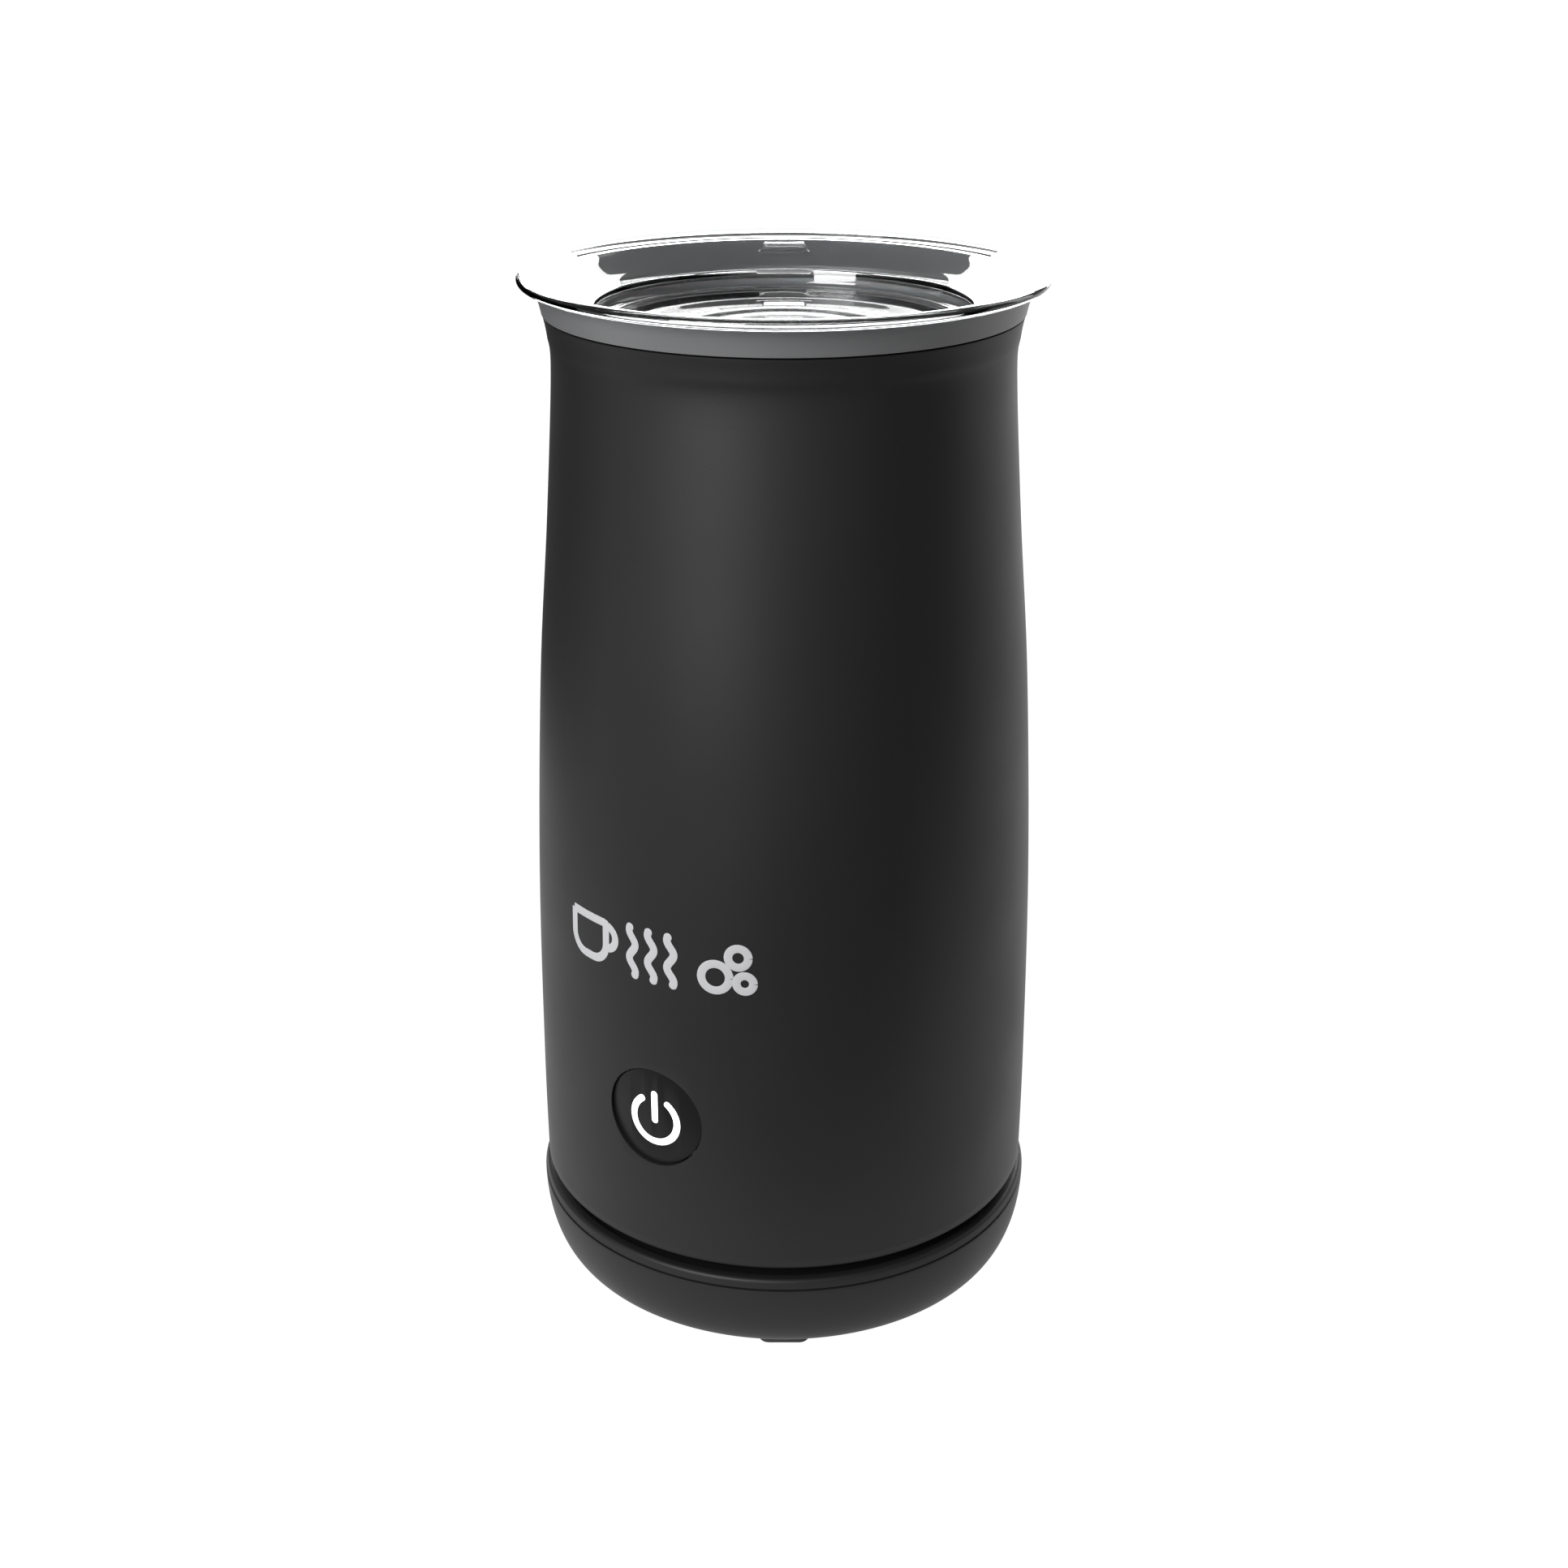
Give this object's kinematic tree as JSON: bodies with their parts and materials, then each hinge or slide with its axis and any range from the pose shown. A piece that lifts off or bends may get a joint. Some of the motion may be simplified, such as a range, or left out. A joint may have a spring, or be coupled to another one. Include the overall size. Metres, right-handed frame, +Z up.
{
  "type": "milk frother",
  "caption": "Tall cordless milk frother jug with a clear dished lid, grey rim band and side power button, standing on a round lift-off power base.",
  "frame": {"origin": "centre of the footprint on the surface that the power base stands on", "axes": "+Z up along the jug's axis, -Y towards the power button, +X to the right as seen facing the button"},
  "size_m": [0.102, 0.102, 0.205],
  "materials": {
    "body_black": "soft-touch satin, near black",
    "connector_black": "smooth moulded, black",
    "button_black": "semi-gloss black",
    "grey_band": "satin mid grey",
    "clear_cover": "clear, polished",
    "milk_light": "translucent white",
    "rubber": "matt",
    "silicone": "satin translucent",
    "nylon": "natural moulded",
    "steel": "brushed",
    "coated_steel": "non-stick coated, dark grey",
    "aluminium": "cast",
    "brass": "turned",
    "magnet": "nickel plated",
    "circuit_board": "solder mask",
    "component_black": "moulded"
  },
  "bodies": {
    "power_base": {"base_bowl": "body_black", "base_top_cover": "body_black", "base_connector": "connector_black", "base_contact_ring_outer": "brass", "base_contact_ring_inner": "brass", "base_centre_pin": "brass", "base_terminal_block": "nylon", "cord_gland": "rubber", "foot_1": "rubber", "foot_2": "rubber", "foot_3": "rubber", "base_screw_1": "steel", "base_screw_2": "steel", "base_screw_3": "steel"},
    "jug_socket": {"jug_connector": "connector_black", "jug_contact_outer": "brass", "jug_contact_inner": "brass"},
    "jug": {"outer_shell": "body_black", "collar": "grey_band", "inner_cup": "coated_steel", "cup_rim_seal": "silicone", "bottom_cover": "body_black", "chassis": "nylon", "main_board": "circuit_board", "relay": "component_black", "capacitor": "component_black", "cup_cradle": "nylon", "motor_bracket": "steel", "motor_can": "steel", "motor_bush": "brass", "heater_plate": "aluminium", "heating_element": "steel", "temperature_sensor": "brass", "whisk_pivot": "steel", "bottom_screw_1": "steel", "bottom_screw_2": "steel", "bottom_screw_3": "steel", "cradle_screw_1": "steel", "cradle_screw_2": "steel", "cradle_screw_3": "steel", "motor_screw_1": "steel", "motor_screw_2": "steel", "button_guide": "nylon", "button_board": "circuit_board", "tact_switch": "component_black", "indicator_lamp": "milk_light"},
    "button": {"button_cap": "button_black", "light_guide": "milk_light"},
    "rotor": {"motor_shaft": "steel", "magnet_carrier": "nylon", "drive_magnet_1": "magnet", "drive_magnet_2": "magnet"},
    "whisk_sleeve": {"whisk_bush": "nylon"},
    "whisk": {"whisk_hub": "body_black", "whisk_frame": "steel", "whisk_coil": "steel", "whisk_magnet_1": "magnet", "whisk_magnet_2": "magnet"},
    "lid": {"lid_cover": "clear_cover", "lid_seal": "silicone"}
  },
  "joints": [
    {"name": "jug_lift", "type": "slide", "parent": "power_base", "child": "jug_socket", "axis": [0, 0, 1], "range_m": [0, 0.12]},
    {"name": "jug_turn", "type": "hinge", "parent": "jug_socket", "child": "jug", "pos_m": [0, 0, 0.03], "axis": [0, 0, 1], "continuous": true},
    {"name": "lid_lift", "type": "slide", "parent": "jug", "child": "lid", "axis": [0, 0, 1], "range_m": [0, 0.05]},
    {"name": "button_press", "type": "slide", "parent": "jug", "child": "button", "axis": [0, 1, 0], "range_m": [0, 0.0012], "stiffness_N_per_m": 1600},
    {"name": "rotor_spin", "type": "hinge", "parent": "jug", "child": "rotor", "pos_m": [0, 0, 0.08], "axis": [0, 0, 1], "continuous": true},
    {"name": "whisk_lift", "type": "slide", "parent": "jug", "child": "whisk_sleeve", "axis": [0, 0, 1], "range_m": [0, 0.06]},
    {"name": "whisk_spin", "type": "hinge", "parent": "whisk_sleeve", "child": "whisk", "pos_m": [0, 0, 0.095], "axis": [0, 0, 1], "continuous": true}
  ],
  "couplings": [
    {"joint": "whisk_spin", "follows": "rotor_spin", "ratio": 1}
  ]
}
